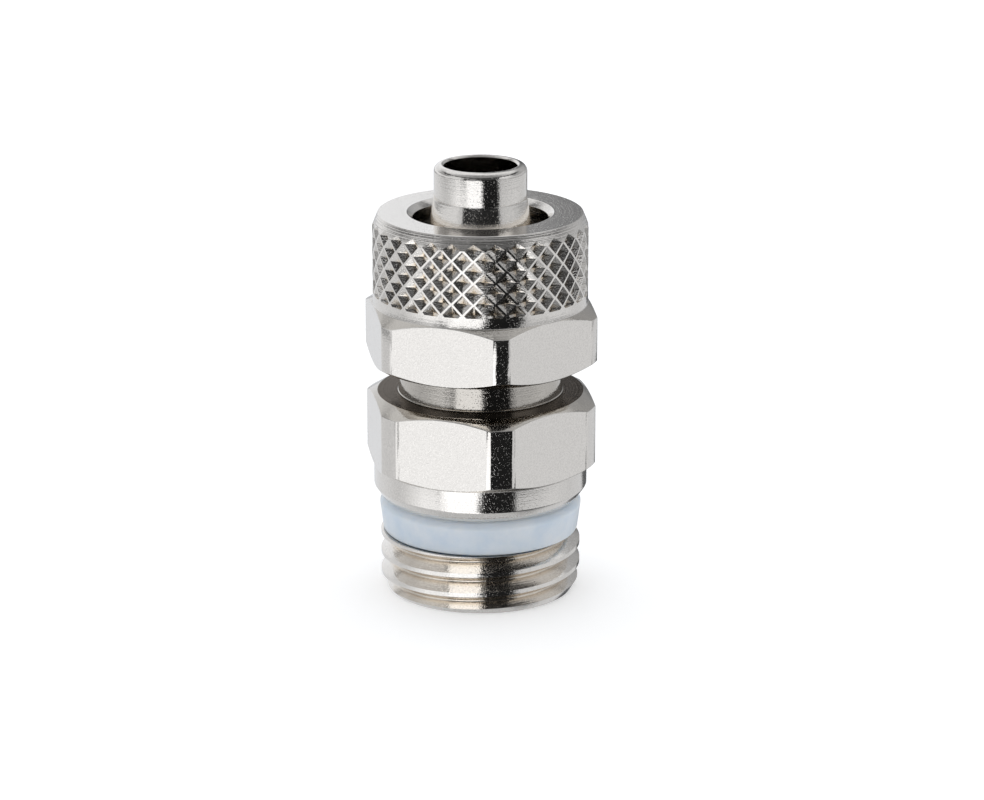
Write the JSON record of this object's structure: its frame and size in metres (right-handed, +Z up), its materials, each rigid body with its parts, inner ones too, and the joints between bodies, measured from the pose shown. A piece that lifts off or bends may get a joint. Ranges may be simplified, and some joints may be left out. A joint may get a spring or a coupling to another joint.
{
  "type": "pneumatic male connector",
  "caption": "Straight male push-on fitting that joins a soft tube to a threaded port: a turned body with spigot, cone and hexagon, a knurled clamp nut and a sealing ring.",
  "frame": {"origin": "centre of the threaded end face", "axes": "+Z up the axis from the threaded end to the tube spigot, a corner of each hexagon towards -Y"},
  "size_m": [0.014, 0.0156, 0.0283],
  "materials": {
    "nickel_plated_brass": "turned brass with bright nickel plating",
    "white_ptfe": "milky translucent, smooth"
  },
  "bodies": {
    "body": {"connector_body": "nickel_plated_brass", "sealing_ring": "white_ptfe"},
    "nut": {"clamp_nut": "nickel_plated_brass"}
  },
  "joints": [
    {"name": "nut_travel", "type": "slide", "parent": "body", "child": "nut", "axis": [0, 0, 1], "range_m": [-0.00195, 0.004]}
  ]
}
